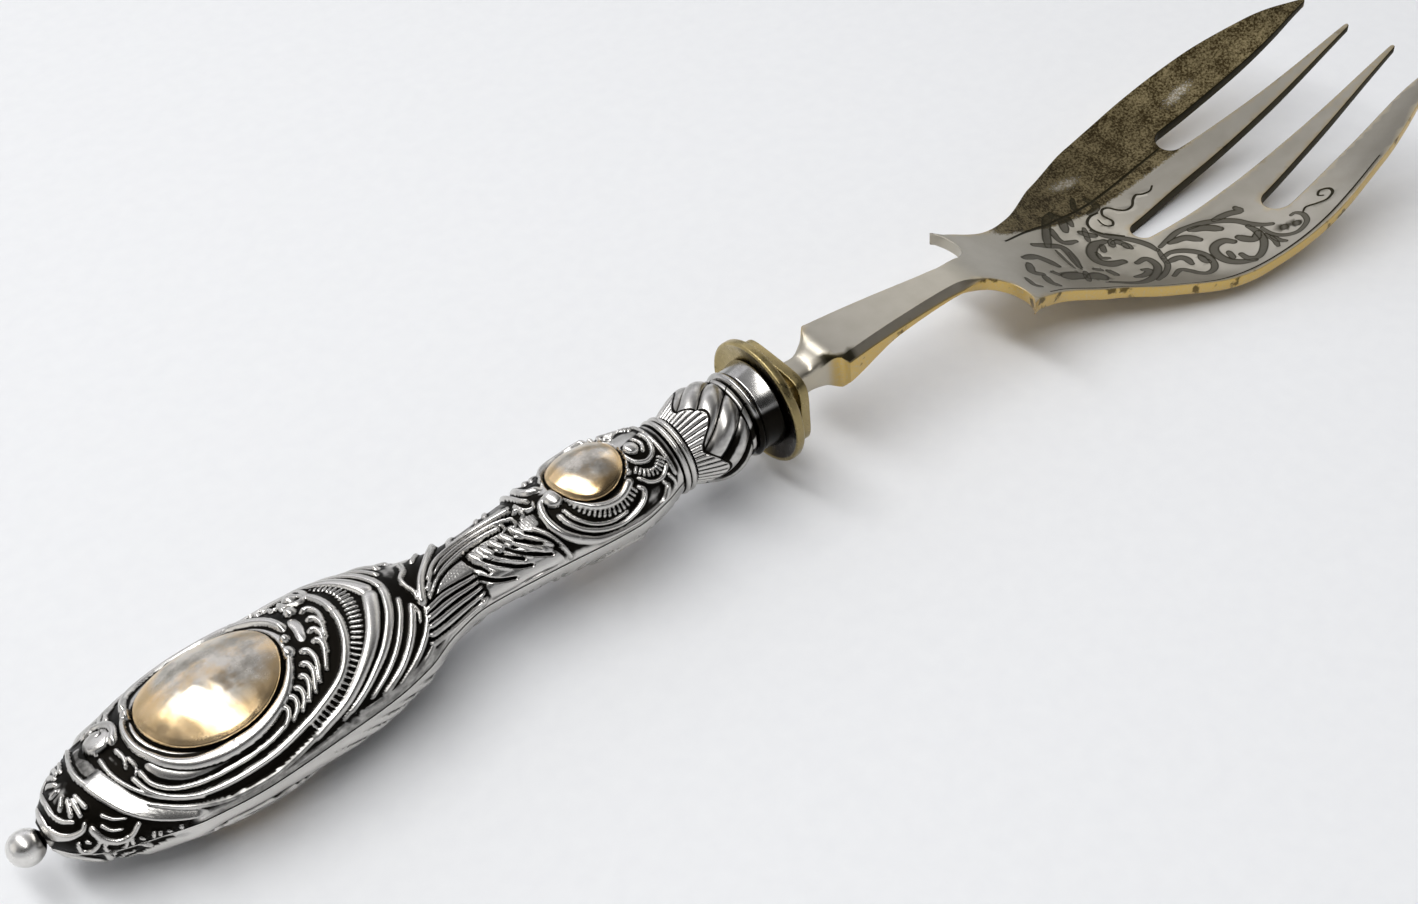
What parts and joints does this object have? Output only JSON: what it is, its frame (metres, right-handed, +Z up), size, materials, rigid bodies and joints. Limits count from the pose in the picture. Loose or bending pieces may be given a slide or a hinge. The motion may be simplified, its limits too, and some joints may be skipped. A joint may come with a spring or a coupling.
{
  "type": "serving fork",
  "caption": "Salad serving fork with a hollow palm, a faceted shank and a guard, on a filled silver handle embossed with scrolls and set with gilt cartouches.",
  "frame": {"origin": "centre of the bounding box on the ground that the fork lies on", "axes": "+X from the finial ball towards the tines, +Z up out of the fork's front"},
  "size_m": [0.2672, 0.0486, 0.0236],
  "materials": {
    "worn_gilt": "worn gilding over silver, engraved",
    "gilt": "polished gilding",
    "polished_silver": "polished",
    "oxidised_silver": "embossed, dark in the recesses",
    "cartouche_gilt": "pale gilding, worn on the crown",
    "pitch": "cast"
  },
  "bodies": {
    "root": {"fork": "worn_gilt", "guard_plate": "gilt", "collar": "polished_silver", "knop": "oxidised_silver", "neck_ring": "oxidised_silver", "handle_front_shell": "oxidised_silver", "handle_back_shell": "oxidised_silver", "front_large_cartouche": "cartouche_gilt", "front_small_cartouche": "cartouche_gilt", "back_large_cartouche": "cartouche_gilt", "back_small_cartouche": "cartouche_gilt", "handle_filler": "pitch", "finial_ball": "polished_silver"}
  },
  "joints": []
}
